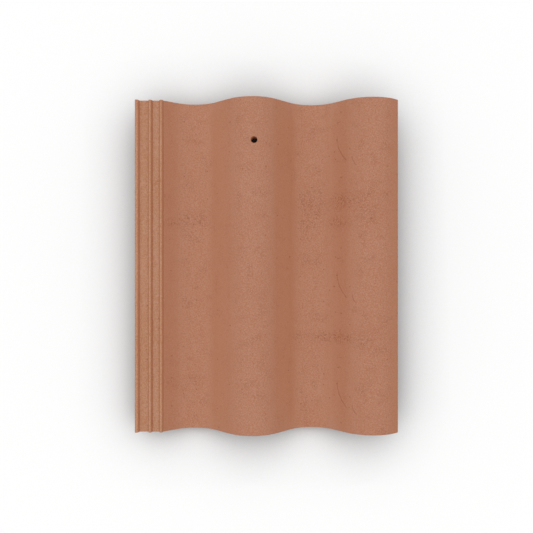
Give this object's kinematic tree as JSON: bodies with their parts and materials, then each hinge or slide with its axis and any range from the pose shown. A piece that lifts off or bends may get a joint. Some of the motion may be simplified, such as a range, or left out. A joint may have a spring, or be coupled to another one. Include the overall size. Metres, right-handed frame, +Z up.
{
  "type": "clay roof tile",
  "caption": "Wavy interlocking roof tile of fired clay, with pans and rolls, a ribbed side lock, a nail hole and hanging nibs.",
  "frame": {"origin": "middle of the tile's box at floor level, as the tile lies on its tail and nibs", "axes": "+Y towards the head with the nail hole, +X towards the overlock on the right, +Z up from the floor"},
  "size_m": [0.33, 0.4194, 0.0628],
  "materials": {
    "fired_clay": "matte fired terracotta"
  },
  "bodies": {
    "root": {"roof_tile": "fired_clay"}
  },
  "joints": []
}
